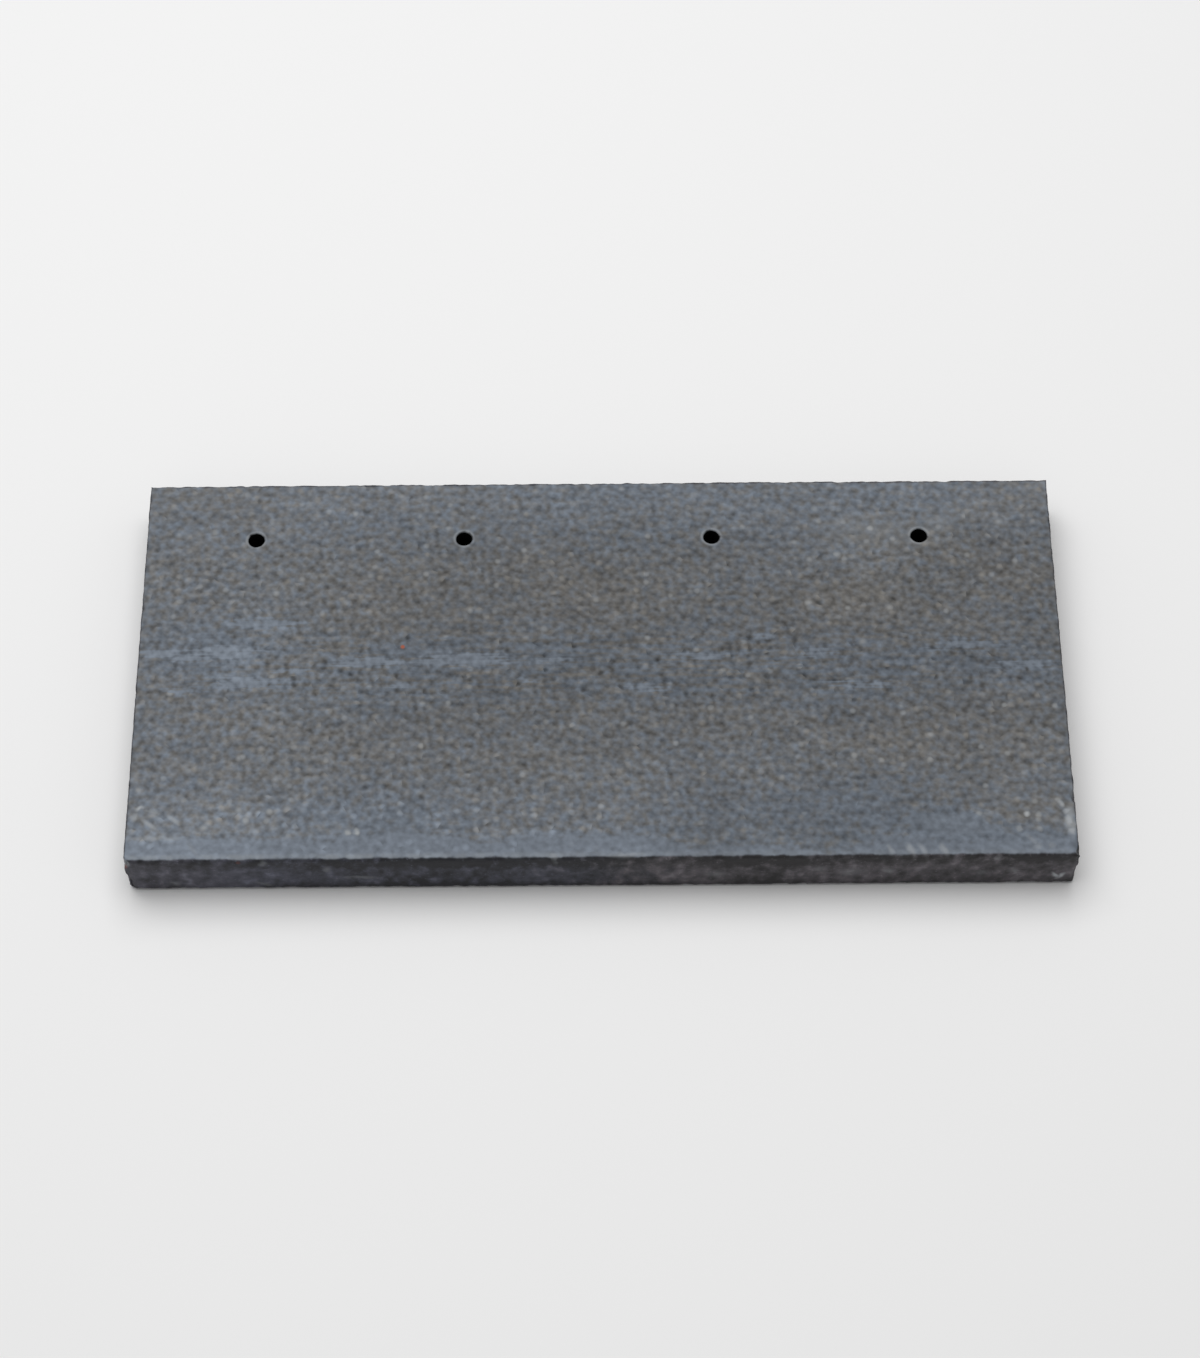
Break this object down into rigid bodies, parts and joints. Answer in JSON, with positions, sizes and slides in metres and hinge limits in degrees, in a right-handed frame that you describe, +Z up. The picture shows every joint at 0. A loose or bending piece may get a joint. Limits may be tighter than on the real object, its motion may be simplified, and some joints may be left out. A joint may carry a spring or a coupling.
{
  "type": "clinker roof tile",
  "caption": "Flat rectangular clinker roof tile, hard fired blue-grey, with a row of round nail holes along its head and a plain flat bed face.",
  "frame": {"origin": "centre of the bed face, on the surface that the tile lies on", "axes": "+X along the width, +Y from the exposed tail to the nailed head, +Z up through the weather face"},
  "size_m": [0.24, 0.115, 0.015],
  "materials": {
    "clinker": "unglazed, hard fired, blue-grey with a brownish sandy grain, smoother and bluer along the tail"
  },
  "bodies": {
    "root": {"clinker_tile": "clinker"}
  },
  "joints": []
}
